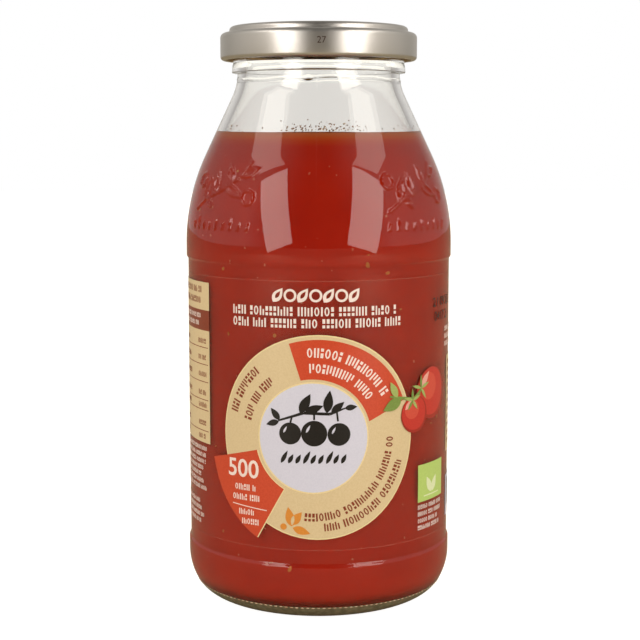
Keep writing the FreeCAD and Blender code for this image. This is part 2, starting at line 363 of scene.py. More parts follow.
def tomato_passata():
    """Sieved tomato: smooth, opaque and wet, with a faint cloudiness where pulp settles.  It
    is thinner and browner at the top, and its fine pulp glows orange at a low angle."""
    material, tree, shader = principled("tomato_passata", Roughness=0.45, IOR=1.36,
                                        Specular_IOR_Level=0.1, Sheen_Weight=0.3,
                                        Sheen_Roughness=0.6, Sheen_Tint=linear("#FF8A4A"))
    cloud = grain(tree, 16, detail=3.0)
    body = shades(tree, cloud, (0.3, "#B21D08"), (0.7, "#BC240C"))
    where = add(tree, "ShaderNodeTexCoord")
    parts = add(tree, "ShaderNodeSeparateXYZ", Vector=where.outputs["Object"])
    depth = add(tree, "ShaderNodeMapRange", Value=parts.outputs["Z"],
                From_Min=(FILL - 8) * MM, From_Max=FILL * MM)
    thin = shades(tree, depth.outputs[0], (0.0, "#AE1F0A"), (0.5, "#B6240C"), (0.68, "#BC3A10"),
                  (0.82, "#C2541E"), (0.94, "#BC6538"), (1.0, "#8A5A40"))
    share = add(tree, "ShaderNodeMapRange", Value=parts.outputs["Z"],
                From_Min=(FILL - 8) * MM, From_Max=(FILL - 4) * MM)
    colour = add(tree, "ShaderNodeMix", {"data_type": "RGBA"}, _0=share.outputs[0], _6=body,
                 _7=thin)
    tree.links.new(colour.outputs[2], shader.inputs["Base Color"])
    dents(tree, shader, grain(tree, 1.2, detail=3.0), 0.15, 0.1)
    return material


def satin_tinplate():
    """Tinplate under a clear satin lacquer: warm silver, softly blurred reflections."""
    material, tree, shader = principled(
        "satin_tinplate", Base_Color=linear("#CDCAC7"), Metallic=1.0, Roughness=0.34)
    tree.links.new(spread(tree, grain(tree, 0.5, detail=3.0), 0.31, 0.37),
                   shader.inputs["Roughness"])
    return material


def gold_lacquer():
    """The inside of a lid: gold food lacquer baked on tinplate."""
    material, tree, shader = principled(
        "gold_lacquer", Base_Color=linear("#8C6A34"), Metallic=1.0, Roughness=0.34)
    tree.links.new(spread(tree, grain(tree, 0.6), 0.3, 0.4), shader.inputs["Roughness"])
    return material


def clear_film():
    """Stretched polypropylene film: all but unseen, with a faint haze."""
    material, tree, shader = principled(
        "clear_film", Base_Color=linear("#C8A090"), Roughness=0.3, IOR=1.3, Alpha=0.006)
    tree.links.new(spread(tree, grain(tree, 2.0), 0.25, 0.35), shader.inputs["Roughness"])
    return material


def film_edge():
    """The cut edge of the film, which catches a little more light than its face."""
    material, tree, shader = principled(
        "film_edge", Base_Color=linear("#D9A08C"), Roughness=0.4, Alpha=0.15)
    tree.links.new(spread(tree, grain(tree, 3.0), 0.06, 0.24), shader.inputs["Alpha"])
    return material


def printed_ink(name, code, darker, gloss=0.3):
    """Ink printed on film under a thin varnish: even, with a fine mottle and a soft sheen."""
    material, tree, shader = principled(name, Roughness=gloss, IOR=1.5)
    mottle = grain(tree, 0.45, detail=3.0)
    tree.links.new(shades(tree, mottle, (0.35, darker), (0.65, code)), shader.inputs["Base Color"])
    dents(tree, shader, mottle, 0.1, 0.01)
    return material


def speck_material(name, code, lighter):
    """Small bits, each somewhere between two shades."""
    material, tree, shader = principled(name, Roughness=0.4, Specular_IOR_Level=0.2)
    tree.links.new(shades(tree, grain(tree, 3.0), (0.35, code), (0.65, lighter)),
                   shader.inputs["Base Color"])
    return material


GLASS = soda_lime_glass()
FOOT_GLASS_PAINTED_SHADE = knurled_glass_painted_shade()
PASSATA = tomato_passata()
TINPLATE = satin_tinplate()
GOLD = gold_lacquer()
FILM = clear_film()
FILM_EDGE = film_edge()
CREAM = printed_ink("cream_ink", "#E0CAA0", "#DAC398")
EDGE_CREAM = printed_ink("pale_cream_ink", "#F3DFAE", "#EDD7A2")
RED_ORANGE = printed_ink("red_orange_ink", "#D24C2C", "#CA4526")
LILAC = printed_ink("lilac_white_ink", "#DADAEB", "#D5D5E7")
WHITE = printed_ink("white_ink", "#FBE9E2", "#F4DFD8")
BLACK = printed_ink("black_ink", "#141112", "#1B1818")
BROWN = printed_ink("brown_ink", "#8C3A22", "#84351F")
ORANGE = printed_ink("orange_ink", "#E0913A", "#D98A34")
GREEN = printed_ink("green_ink", "#BDD878", "#B5D170")
PALE_GREEN = printed_ink("pale_green_ink", "#E6F0C4", "#DFEABB")
LEAF_GREEN = printed_ink("leaf_green_ink", "#7F9A4A", "#768F42")
LEAF_PALE = printed_ink("pale_leaf_ink", "#A9BA6C", "#9DAF60")
TOMATO_DARK = printed_ink("dark_tomato_ink", "#A82A1C", "#A02618")
TOMATO = printed_ink("tomato_ink", "#C9352A", "#C13026")
TOMATO_LIGHT = printed_ink("light_tomato_ink", "#D6503E", "#D04A38")
TOMATO_SHINE = printed_ink("tomato_shine_ink", "#EFB0A2", "#E8A496")
DATE_INK = printed_ink("date_code_ink", "#3A1A16", "#321512")
# painted highlight: the knurl beads are pale orange to stand for the glints on them
KNURL_GLINT_PAINT = speck_material("knurl_glint", "#C79A78", "#E4C8AC")
SEED = speck_material("tomato_seed", "#B65A20", "#CC7E34")
PULP = speck_material("tomato_pulp", "#C65A3C", "#D07A5A")
FROTH = speck_material("dried_froth", "#9A7458", "#D2BCA4")

# ---------------------------------------------------------------- glass, passata and lid

THREAD_LOW = LID_FOOT + 2.1
THREADS = [65.0 + 90.0 * k for k in range(4)]     # degrees from the front
EMBLEMS = [48.0, 132.0, 228.0, 312.0]
SEAMS = (359.3, 179.3)


def emblem_strokes():
    """A sprig with two fruits over a row of bars, as raised lines: (start, end) pairs in
    millimetres from the middle of the emblem."""
    strokes = []

    def line(points):
        strokes.extend(zip(points, points[1:]))

    line([(-11, 112.5), (-6, 115.5), (0, 117.6), (6, 120.8), (10, 125.5)])
    for x, y, turn, length in ((-7, 115, 75, 6.5), (-2, 117, 95, 6.0), (4, 119.8, 110, 5.5),
                               (-5, 116, -50, 3.5), (7.5, 122, 20, 5.5), (2.5, 119, -25, 6.0)):
        line(moved(leaf(length, length * 0.36, 6) + [(0, 0)], (x, y), turn))
    for x, y in ((-10.5, 120.5), (10.5, 116.2)):
        line(moved(arc((0, 0), 1.9, 0, 360, 12), (x, y), 0))
    for k in range(9):
        tall = (1.6, 2.8, 1.6, 1.6, 2.3, 1.6, 2.8, 1.6, 1.6)[k]
        line([(-11.4 + 2.8 * k, 107.6), (-11.0 + 2.8 * k, 107.6 + tall)])
    return strokes


def ridge(across, up, strokes, half, height):
    """How far raised lines stand out at a row of places, with rounded shoulders."""
    rise = np.zeros_like(across)
    for (x1, y1), (x2, y2) in strokes:
        if not min(y1, y2) - half < up < max(y1, y2) + half:
            continue
        dx, dy = x2 - x1, y2 - y1
        along = np.clip(((across - x1) * dx + (up - y1) * dy) / (dx * dx + dy * dy), 0, 1)
        away = np.hypot(across - x1 - along * dx, up - y1 - along * dy) / half
        rise = np.maximum(rise, height * np.clip(1 - away ** 2, 0, 1))
    return rise


STROKES = emblem_strokes()


def skin(height):
    """Radius of the outside on the round of the shoulder."""
    if height > SHOULDER_END[1]:
        return SHOULDER_END[0]
    return BODY_RADIUS - SHOULDER_ROUND + math.sqrt(SHOULDER_ROUND ** 2 - (height - SHOULDER) ** 2)


def glass_relief(angles, height, row):
    """What the mould leaves on the outside: emblems, seams, the parting line with a mark, and
    threads.
    """
    rise = np.zeros_like(angles)
    degrees = np.degrees(angles) % 360
    if row >= OUTSIDE_ROWS:
        return rise
    if 106 < height < 131:
        for centre in EMBLEMS:
            across = np.radians((degrees - centre + 180) % 360 - 180) * 37.0
            tall = min(0.48, BODY_RADIUS - skin(height))
            rise = np.maximum(rise, ridge(across, height, STROKES, 0.5, tall))
    for seam in SEAMS:
        away = np.abs((degrees - seam + 180) % 360 - 180)
        if SHOULDER + 4 < height < LEDGE - 2:
            rise = np.maximum(rise, 0.08 * np.clip(1 - (away / 0.4) ** 2, 0, 1))
    wave = 0.3 * np.sin(angles * 3 + 1) + 0.12 * np.sin(angles * 11)
    rise = np.maximum(rise, 0.10 * np.clip(1 - ((height - PARTING - wave) / 0.45) ** 2, 0, 1))
    mark = np.radians((degrees - 353 + 180) % 360 - 180) * NECK_RADIUS
    rise = np.maximum(rise, 0.3 * np.clip(1 - (mark / 1.3) ** 2 - ((height - PARTING) / 0.8) ** 2,
                                          0, 1))
    if THREAD_LOW - 0.1 < height < THREAD_LOW + 2.4:
        for start in THREADS:
            away = (degrees - start + 180) % 360 - 180
            climb = THREAD_LOW + 0.75 + 0.5 * away / 30
            side = np.clip((30 - np.abs(away)) / 4, 0, 1)
            rise = np.maximum(rise, 0.8 * side * np.clip(1.35 - ((height - climb) / 0.75) ** 2,
                                                         0, 1))
    return rise


def glass_angles():
    """Close together where the glass has fine relief, wider apart elsewhere."""
    angles = []
    degree = 0.0
    while degree < 359.7:
        angles.append(degree)
        fine = any(abs((degree + 0.3 - centre + 180) % 360 - 180) < 21 for centre in EMBLEMS)
        seam = any(abs((degree + 0.5 - middle + 180) % 360 - 180) < 1.2 for middle in SEAMS)
        degree += 0.3 if seam else 0.6 if fine else 1.5
    return np.radians(angles)


def bottle_glass():
    """The hollow bottle, with everything that its mould leaves on it."""
    bore = NECK_RADIUS - WALL
    outline = (OUTSIDE + arc((bore + RIM_ROUND, RIM - RIM_ROUND), RIM_ROUND, 90, 180, 5)
               + bottle_inside()[::-1])
    # the rings of the outside below KNURLED get the foot glass, roughened and with painted shade
    piece = turned("bottle_glass", outline, glass_angles(), [GLASS, FOOT_GLASS_PAINTED_SHADE],
                   swell=glass_relief, sharp=60,
                   paint=lambda row: int(0 < row < OUTSIDE_ROWS and outline[row][1] < KNURLED
                                         and outline[row][0] > 24))
    return place_piece(piece, "clear_glass", "glass_bottle")


def passata_fill():
    """The sauce, just into the wall, with the film of sauce that clings to the glass."""
    inner = [p for p in bottle_inside(WET) if p[1] < FILL - 2]
    lean = SLOPE_SIN / SLOPE_COS
    edge = SHOULDER_END[0] - (WALL - WET) / SLOPE_COS - (FILL - 0.2 - SHOULDER_END[1]) * lean
    top = [(edge, FILL - 0.2), (edge - 0.5, FILL - 0.6), (edge - 1.4, FILL - 0.95),
           (edge - 3.0, FILL - 1.1), (edge * 0.5, FILL - 1.15), (0, FILL - 1.15)]
    piece = turned("passata_fill", inner + top, evenly(240), [PASSATA])
    return place_piece(piece, "passata", "passata")


def lid_shell():
    """The lid: button and dish, raised ring, skirt, rolled edge, and the lacquered inside."""
    top = LID_TOP
    ring = FINISH_RADIUS + 0.7 + SHEET
    dish = NECK_RADIUS - WALL - 0.4 - SHEET
    ring_round = 1.1
    shoulder = top - 1.8
    dish_top = top - 1.3
    lid_round = 1.4
    curl = 1.05
    curl_centre = (LID_RADIUS - curl, LID_FOOT + curl)
    outside = (dome(10.5, dish_top, 0.4, 8)
               + [(dish - 0.5, dish_top)] + arc((dish - 0.3, dish_top + 0.3), 0.3, -90, 0, 4)
               + arc((dish + ring_round, top - ring_round), ring_round, 180, 90, 8)
               + arc((ring - ring_round, top - ring_round), ring_round, 90, 0, 8)
               + arc((ring + 0.25, shoulder + 0.25), 0.25, 180, 270, 4)
               + arc((LID_RADIUS - lid_round, shoulder - lid_round), lid_round, 90, 0, 10)
               + arc(curl_centre, curl, 0, -200, 18))
    inside = ([(LID_RADIUS - SHEET, LID_FOOT + 2 * curl)]
              + arc((LID_RADIUS - lid_round, shoulder - lid_round), lid_round - SHEET, 0, 90, 6)
              + [(ring - SHEET, shoulder - SHEET), (ring - SHEET, top - ring_round)]
              + arc((ring - ring_round, top - ring_round), ring_round - SHEET, 0, 90, 5)
              + arc((dish + ring_round, top - ring_round), ring_round - SHEET, 90, 180, 5)
              + [(dish + SHEET, dish_top - SHEET)])
    inside += dome(10.5, dish_top - SHEET, 0.4, 6)[::-1]
    gold_from = len(outside) - 8
    piece = turned("lid_shell", outside + inside, evenly(256), [TINPLATE, GOLD],
                   paint=lambda row: 1 if row >= gold_from else 0)
    return place_piece(piece, "tinplate", "lid")


def film_sleeve():
    """The clear film, with a narrow cut edge along its top and foot."""
    low = NODE_FOOT["label_film"]
    high = NODE_TOP["label_film"]
    inner = PANEL_RADIUS + 0.01
    outer = inner + 0.03
    edge = 0.22
    outline = [(inner, low), (outer, low), (outer, low + edge),
               (outer, high - edge), (outer, high), (inner, high)]
    piece = turned("film_sleeve", outline, evenly(240), [FILM, FILM_EDGE],
                   paint=lambda row: 1 if row in (1, 3) else 0)
    return place_piece(piece, "label_film", "label_film")


bottle_glass()
passata_fill()
lid_shell()
film_sleeve()

# ---------------------------------------------------------------- the print

CUT = 1.5            # width of the strips that a flat shape is cut into before it is bent
INK = 0.012          # thickness of a layer of ink
LAYER = 0.02         # from one layer to the next
PRINT_LIFT = 0.045   # from the panel to the lowest layer


def bent(mesh, base):
    """Cuts a flat mesh into upright strips and bends it round the label panel."""
    work = bmesh.new()
    work.from_mesh(mesh)
    left = min(v.co.x for v in work.verts)
    right = max(v.co.x for v in work.verts)
    for k in range(math.ceil(left / CUT), math.floor(right / CUT) + 1):
        bmesh.ops.bisect_plane(work, geom=work.verts[:] + work.edges[:] + work.faces[:],
                               plane_co=(k * CUT, 0, 0), plane_no=(1, 0, 0), dist=1e-5)
    for vert in work.verts:
        angle = vert.co.x / PANEL_RADIUS
        reach = base + vert.co.z
        vert.co = Vector((reach * math.sin(angle), -reach * math.cos(angle), vert.co.y)) * MM
    work.to_mesh(mesh)
    work.free()


def flat_mesh(name, curve):
    """The filled shape of a curve as a flat mesh with the thickness of ink."""
    curve.extrude = INK / 2
    flat = bpy.data.objects.new(name + "_flat", curve)
    bpy.context.scene.collection.objects.link(flat)
    mesh = bpy.data.meshes.new_from_object(flat)
    bpy.data.objects.remove(flat)
    return mesh


def print_mesh(name, mesh, layer, material):
    """Bends a flat mesh round the label and makes a piece of it."""
    bent(mesh, PANEL_RADIUS + PRINT_LIFT + layer * LAYER)
    mesh.materials.clear()
    return place_piece(new_object(name, mesh, [material], sharp=60), "label_film")


def print_shape(name, outlines, layer, material):
    """Ink with these closed outlines.  An outline inside another one is a hole."""
    curve = bpy.data.curves.new(name + "_outline", "CURVE")
    curve.dimensions = "2D"
    curve.fill_mode = "BOTH"
    for outline in outlines:
        spline = curve.splines.new("POLY")
        spline.points.add(len(outline) - 1)
        for point, (across, up) in zip(spline.points, outline):
            point.co = (across, up, 0, 1)
        spline.use_cyclic_u = True
    return print_mesh(name, flat_mesh(name, curve), layer, material)


def print_solid(name, outlines, layer, material):
    """Ink with these closed outlines, each filled by itself and a hair above the one before,
    so that they may overlap."""
    work = bmesh.new()
    for k, outline in enumerate(outlines):
        low = [work.verts.new((x, y, k * 0.001 - INK / 2)) for x, y in outline]
        high = [work.verts.new((x, y, k * 0.001 + INK / 2)) for x, y in outline]
        work.faces.new(low[::-1])
        work.faces.new(high)
        for a in range(len(outline)):
            b = (a + 1) % len(outline)
            work.faces.new((low[a], low[b], high[b], high[a]))
    bmesh.ops.recalc_face_normals(work, faces=work.faces[:])
    mesh = bpy.data.meshes.new(name)
    work.to_mesh(mesh)
    work.free()
    return print_mesh(name, mesh, layer, material)


def print_number(name, digits, middle, height, layer, material):
    """A plain number, centred on a place."""
    curve = bpy.data.curves.new(name + "_digits", "FONT")
    curve.body = digits
    curve.size = height / 0.69
    curve.offset = 0.02 * height
    curve.align_x = "CENTER"
    curve.align_y = "CENTER"
    curve.resolution_u = 4
    mesh = flat_mesh(name, curve)
    mesh.transform(Matrix.Translation((middle[0], middle[1], 0)))
    return print_mesh(name, mesh, layer, material)


def oval(middle, width, height, line):
    """An upright ring."""
    return [[(middle[0] + (width / 2 - inset) * math.cos(a),
              middle[1] + (height / 2 - inset) * math.sin(a))
             for a in (math.pi * k / 6 for k in range(12))] for inset in (0, line)]


def blocks(draw, start, end, up, height):
    """Bars, rings and stacked dots along a line: the size and weight of lettering, and none
    of it."""
    result = []
    across = start
    while across < end - height * 0.4:
        for _ in range(draw.randint(3, 9)):
            kind = draw.choice(("bar", "bars", "ring", "stack"))
            width = height * {"bar": 0.2, "bars": 0.52, "ring": 0.56, "stack": 0.3}[kind]
            if across + width > end:
                break
            if kind == "bar":
                result.append(box(across, across + width, up, up + height))
            elif kind == "bars":
                tall = height * draw.uniform(0.6, 1.0)
                result.append(box(across, across + height * 0.18, up, up + height))
                result.append(box(across + width - height * 0.18, across + width, up, up + tall))
            elif kind == "ring":
                result += oval((across + width / 2, up + height / 2), width, height, height * 0.16)
            else:
                result.append(box(across, across + width, up, up + height * 0.32))
                result.append(box(across, across + width, up + height * 0.5, up + height))
            across += width + height * 0.17
        across += height * 0.4
    return result


def lines(draw, left, right, high, pitch, height, count):
    """Lines of blocks, one under another, ragged on the right."""
    result = []
    for k in range(count):
        end = right - draw.uniform(0.0, 0.2) * (right - left)
        result += blocks(draw, left, end, high - height - k * pitch, height)
    return result


def round_blocks(draw, centre, radius, start, end, height):
    """Plain blocks along an arc, from one angle to another."""
    length = math.radians(abs(end - start)) * radius
    way = 1 if end > start else -1
    result = []
    for outline in blocks(draw, 0, length, -height / 2, height):
        middle = sum(x for x, _ in outline) / len(outline)
        angle = start + way * math.degrees(middle / radius)
        place = (centre[0] + radius * math.cos(math.radians(angle)),
                 centre[1] + radius * math.sin(math.radians(angle)))
        result.append(moved([(x - middle, y) for x, y in outline], place, angle + 90))
    return result


def ring_outlines(centre, radius, line):
    """A round ring with a line this wide."""
    return [circle(centre, radius, 40), circle(centre, radius - line, 40)]


def leaf_at(place, length, width, turn):
    """A leaf that starts here and points this way."""
    return moved(leaf(length, width), place, turn)


def stroke(start, end, width, end_width=None):
    """A straight bar between two places, tapered where a second width is given."""
    dx, dy = end[0] - start[0], end[1] - start[1]
    size = math.hypot(dx, dy)
    nx, ny = -dy / size / 2, dx / size / 2
    last = end_width if end_width is not None else width
    return [(start[0] + nx * width, start[1] + ny * width),
            (start[0] - nx * width, start[1] - ny * width),
            (end[0] - nx * last, end[1] - ny * last), (end[0] + nx * last, end[1] + ny * last)]


ROUND_CENTRE = (-0.2, 52.0)
ROUND_RADIUS = 28.0
DISC_CENTRE = (-1.5, 52.0)
DISC_RADIUS = 14.9


def front_heading(draw):
    """A row of fruit and leaf outlines, with two lines of blocks under it."""
    row = []
    for k in range(7):
        middle = -11.1 + 3.45 * k
        if k % 2:
            row += ring_outlines((middle, 90.5), 1.75, 0.62)
        else:
            row += [leaf_at((middle - 1.3, 88.7), 4.6, 2.6, 54)]
            row += [leaf_at((middle - 0.62, 89.7), 2.4, 1.0, 54)]
    print_shape("heading_row", row, 2, WHITE)
    for name, low, seed in (("heading_line_one", 85.0, 3), ("heading_line_two", 81.8, 8)):
        print_shape(name, blocks(random.Random(seed), -24.8, 23.8, low, 2.45), 2, WHITE)


def front_roundel(draw):
    """The cream roundel, its two red sectors and the pale disc in the middle."""
    print_shape("roundel_edge", [circle(ROUND_CENTRE, ROUND_RADIUS)], 0, EDGE_CREAM)
    print_shape("roundel", [circle(ROUND_CENTRE, ROUND_RADIUS - 0.35)], 1, CREAM)
    print_shape("disc_edge", [circle(DISC_CENTRE, DISC_RADIUS + 0.4)], 2, EDGE_CREAM)
    print_shape("disc", [circle(DISC_CENTRE, DISC_RADIUS)], 3, LILAC)
    upper = (arc(ROUND_CENTRE, ROUND_RADIUS - 1.3, 20, 107, 30)
             + arc(DISC_CENTRE, DISC_RADIUS + 1.1, 102, 15, 24))
    print_shape("upper_sector", [upper], 2, RED_ORANGE)
    lower = sector(DISC_CENTRE, DISC_RADIUS + 1.4, 32.5, 194, 240.7)
    print_shape("lower_sector_edge", [moved(lower, (0.35, 0.0), 0)], 2, EDGE_CREAM)
    print_shape("lower_sector", [lower], 3, RED_ORANGE)
    print_shape("upper_words", round_blocks(draw, DISC_CENTRE, 23.2, 94, 25, 2.6)
                + round_blocks(draw, DISC_CENTRE, 19.0, 93, 33, 2.5), 3, WHITE)
    print_shape("left_words", round_blocks(draw, DISC_CENTRE, 23.9, 165, 128, 2.3)
                + round_blocks(draw, DISC_CENTRE, 19.1, 167, 123, 2.3), 3, BROWN)
    print_shape("right_words", round_blocks(draw, DISC_CENTRE, 21.8, -96, -1, 2.2)
                + round_blocks(draw, ROUND_CENTRE, 24.6, -86, -13, 2.2), 3, BROWN)
    print_number("sector_number", "500", (-21.9, 42.2), 4.8, 4, WHITE)
    small = (blocks(draw, -24.5, -17.4, 36.4, 1.7) + blocks(draw, -25.3, -16.2, 33.6, 1.7)
             + blocks(draw, -23.2, -18.4, 29.6, 1.6) + blocks(draw, -22.2, -15.2, 27.0, 1.6)
             + [moved(box(-5.5, 5.5, -0.12, 0.12), (-19.9, 31.9), -5)])
    print_shape("sector_words", small, 4, WHITE)
    sprig = [leaf_at((-7.4, 28.0), 4.6, 2.4, 52), leaf_at((-7.4, 27.6), 5.4, 2.5, 100),
             leaf_at((-7.0, 27.2), 5.0, 2.2, -18), circle((-9.6, 27.4), 0.9, 16)]
    print_shape("orange_sprig", sprig, 3, ORANGE)


def disc_motif():
    """Three fruits hanging from a leafy vine, in black, over a row of beads."""
    vine = [stroke((-11.0, 56.6), (-4.0, 58.9), 0.5, 0.8), stroke((-4.0, 58.9), (3.0, 58.6), 0.8),
            stroke((3.0, 58.6), (7.4, 60.2), 0.8, 0.35)]
    vine_hooks = [stroke((-7.2, 57.9), (-7.6, 56.2), 0.5), stroke((-1.2, 58.8), (-1.2, 57.0), 0.5),
                  stroke((4.9, 59.2), (5.2, 56.6), 0.5)]
    print_solid("motif_vine", vine + vine_hooks, 5, BLACK)
    leaves = [leaf_at((-5.0, 58.8), 6.0, 2.6, 62), leaf_at((-3.6, 59.1), 5.2, 2.2, 20),
              leaf_at((2.2, 58.9), 6.2, 2.6, 82), leaf_at((3.4, 58.9), 4.6, 2.0, 40),
              leaf_at((-10.6, 56.8), 4.0, 1.8, 128), leaf_at((-10.8, 56.4), 3.8, 1.7, 196),
              leaf_at((7.1, 60.1), 3.4, 1.6, 6)]
    print_solid("motif_leaves", leaves, 6, BLACK)
    fruit = []
    for x, y, radius in ((-7.7, 53.2, 3.0), (-1.2, 53.3, 3.5), (5.5, 53.0, 3.1)):
        fruit += [circle((x, y), radius, 48),
                  leaf_at((x - radius * 0.62, y + radius * 0.05), radius * 0.7, radius * 0.2, 62)]
    print_shape("motif_fruit", fruit, 5, BLACK)
    beads = []
    for k in range(9):
        middle = -9.5 + 2.05 * k
        beads.append(leaf_at((middle - 0.75, 45.0), 2.9 if k % 3 else 4.0, 1.15, 62))
    print_shape("motif_row", beads, 5, BLACK)


def side_fruit():
    """Two round tomatoes on a stalk, over the edge of the roundel."""
    for k, (x, y, radius) in enumerate(((37.2, 61.6, 7.4), (29.2, 56.6, 5.2))):
        layer = 5 + 4 * (k > 0)
        print_shape(f"tomato_{k}_shade", [circle((x, y), radius, 56)], layer, TOMATO_DARK)
        print_shape(f"tomato_{k}_body", [circle((x - radius * 0.04, y + radius * 0.07),
                                                radius * 0.91, 56)], layer + 1, TOMATO)
        print_shape(f"tomato_{k}_light", [circle((x - radius * 0.22, y + radius * 0.28),
                                                 radius * 0.52, 48)], layer + 2, TOMATO_LIGHT)
        print_shape(f"tomato_{k}_shine", [leaf_at((x - radius * 0.72, y + radius * 0.30),
                                                  radius * 0.75, radius * 0.26, 48)],
                    layer + 3, TOMATO_SHINE)
    stalk = [stroke((20.2, 62.4), (24.6, 61.6), 0.5, 0.8), stroke((24.6, 61.6), (28.6, 60.9), 0.8),
             stroke((28.6, 60.9), (31.6, 63.2), 0.7)]
    green = stalk + [leaf_at((24.0, 61.4), 6.6, 3.2, 205)]
    pale = [leaf_at((22.6, 62.0), 5.0, 2.2, 118)]
    for x, y, length in ((28.2, 60.6, 3.3), (31.7, 63.6, 3.9)):
        green += [leaf_at((x, y), length, 0.9, turn) for turn in (92, 235)]
        pale += [leaf_at((x, y), length, 0.9, turn) for turn in (20, 165, 305)]
    print_solid("side_green", green, 13, LEAF_GREEN)
    print_solid("side_pale_green", pale, 14, LEAF_PALE)


def right_panels(draw):
    """A green mark with small print, the date code and the panels round the right side."""
    print_shape("green_mark", [box(30.9, 44.7, 31.2, 41.8)], 2, GREEN)
    mark = [leaf_at((37.8, 33.4), 5.0, 2.4, 62), leaf_at((37.4, 33.4), 5.2, 2.4, 118)]
    print_solid("green_mark_leaves", mark + [box(33.6, 42.0, 32.5, 32.85)], 3, PALE_GREEN)
    print_shape("under_green_mark", lines(draw, 31.0, 44.4, 30.4, 1.95, 1.25, 4), 2, WHITE)
    print_number("date_code_one", "21 09 28", (44.0, 86.6), 2.5, 2, DATE_INK)
    print_number("date_code_two", "0417 2", (43.4, 82.6), 2.5, 2, DATE_INK)
    print_shape("right_words_top", lines(draw, 46.6, 76.0, 79.2, 2.2, 1.4, 3), 2, WHITE)
    print_shape("right_panel", [box(49.4, 77.0, 42.4, 70.5)], 2, CREAM)
    print_shape("right_panel_words", lines(draw, 51.0, 75.6, 69.0, 2.3, 1.35, 11), 3, BROWN)
    print_shape("white_panel", [box(49.8, 77.0, 23.3, 35.4)], 2, LILAC)
    bars = []
    across = 51.4
    while across < 75.0:
        width = draw.choice((0.3, 0.3, 0.55, 0.8))
        bars.append(box(across, across + width, 26.2, 34.2))
        across += width + draw.choice((0.35, 0.35, 0.7))
    print_shape("white_panel_bars", bars, 3, BLACK)
    print_number("white_panel_number", "5 012345 678900", (63.4, 24.7), 1.5, 3, BLACK)


def left_panels(draw):
    """A table of values on cream, with small print under it."""
    print_shape("table", [box(-63.0, -35.0, 84.6, 92.4), box(-63.0, -35.0, 47.1, 78.9)], 2, CREAM)
    print_shape("table_head", [box(-63.0, -35.0, 78.9, 84.6)], 2, BROWN)
    print_shape("table_head_words", lines(draw, -61.6, -37.0, 83.6, 2.2, 1.3, 2), 3, WHITE)
    print_shape("table_title", lines(draw, -61.6, -37.0, 91.2, 3.0, 1.8, 2), 3, BROWN)
    rules = [box(-62.2, -35.8, up, up + 0.22) for up in (74.0, 69.2, 64.3, 59.2, 56.3, 50.4)]
    print_shape("table_rules", rules, 3, BROWN)
    names = []
    values = []
    for up in (75.2, 70.6, 65.8, 60.6, 57.1, 52.0, 48.2):
        names += blocks(draw, -61.4, -61.4 + draw.uniform(8, 14), up, 1.4)
        values += blocks(draw, -41.6, -36.6, up, 1.4)
    print_shape("table_names", names, 3, BROWN)
    print_shape("table_values", values, 3, BROWN)
    print_shape("left_small_print", lines(draw, -62.6, -35.6, 46.0, 1.9, 1.2, 7)
                + lines(draw, -62.6, -36.4, 30.4, 1.9, 1.2, 4), 2, WHITE)


def back_panels(draw):
    """Small print and a plain picture on the side that faces away, and the film's seam."""
    print_shape("back_title", blocks(draw, 82.0, 112.0, 86.2, 3.0), 2, WHITE)
    print_shape("back_words", lines(draw, 82.0, 114.0, 82.0, 2.5, 1.5, 9), 2, WHITE)
    print_shape("back_panel", [box(82.0, 114.0, 30.0, 56.0)], 2, CREAM)
    print_shape("back_panel_fruit", [circle((90.5, 43.0), 5.6, 48)], 3, RED_ORANGE)
    print_solid("back_panel_leaves", [leaf_at((90.4, 47.6), 5.6, 1.9, 30),
                                      leaf_at((90.6, 47.6), 5.4, 1.8, 150)], 4, LEAF_GREEN)
    print_shape("back_panel_words", lines(draw, 98.6, 112.8, 53.6, 2.5, 1.4, 8), 3, BROWN)
    print_shape("left_back_title", blocks(draw, -112.0, -72.0, 86.2, 3.0), 2, WHITE)
    print_shape("left_back_words", lines(draw, -112.0, -70.0, 82.0, 2.5, 1.5, 10), 2, WHITE)
    print_shape("left_back_small_print", lines(draw, -112.0, -70.0, 52.0, 2.1, 1.25, 12), 2, WHITE)
    print_shape("film_seam", [box(117.6, 118.3, NODE_FOOT["label_film"], NODE_TOP["label_film"])],
                2, FILM_EDGE)


ink = random.Random(41)
front_heading(ink)
front_roundel(ink)
disc_motif()
side_fruit()
right_panels(ink)
left_panels(ink)
back_panels(ink)

# ---------------------------------------------------------------- small pieces

def wall_place(angle, height, sink):
    """A place on the inner face of the glass, sunk this far into it, and the way out."""
    profile = bottle_inside()
    for (r1, z1), (r2, z2) in zip(profile, profile[1:]):
        if z1 <= height <= z2 and z2 > z1:
            share = (height - z1) / (z2 - z1)
            radius = r1 + (r2 - r1) * share
            lean = math.atan2(r1 - r2, z2 - z1)
            break
    turn = math.radians(angle)
    out = Vector((math.sin(turn) * math.cos(lean), -math.cos(turn) * math.cos(lean),
                  math.sin(lean)))
    place = Vector((radius * math.sin(turn), -radius * math.cos(turn), height)) + out * sink
    return place, out


def lens(work, place, out, spin, length, width, thick):
    """Adds a flattened bead that lies along the glass."""
    side = out.cross(Vector((0, 0, 1))).normalized()
    along = side * math.cos(spin) + out.cross(side) * math.sin(spin)
    across = out.cross(along)
    turn = Matrix((along * length / 2, across * width / 2, out * thick / 2)).transposed().to_4x4()
    bead = bmesh.ops.create_uvsphere(work, u_segments=12, v_segments=8, radius=1.0)
    bmesh.ops.transform(work, matrix=Matrix.Scale(MM, 4) @ Matrix.Translation(place) @ turn,
                        verts=bead["verts"])


def scattered(name, slot, material, beads):
    """One mesh of many beads: (angle, height, sink, spin, length, width, thickness)."""
    work = bmesh.new()
    for angle, height, sink, spin, length, width, thick in beads:
        place, out = wall_place(angle, height, sink)
        lens(work, place, out, spin, length, width, thick)
    mesh = bpy.data.meshes.new(name)
    work.to_mesh(mesh)
    work.free()
    return place_piece(new_object(name, mesh, [material], sharp=180), slot)


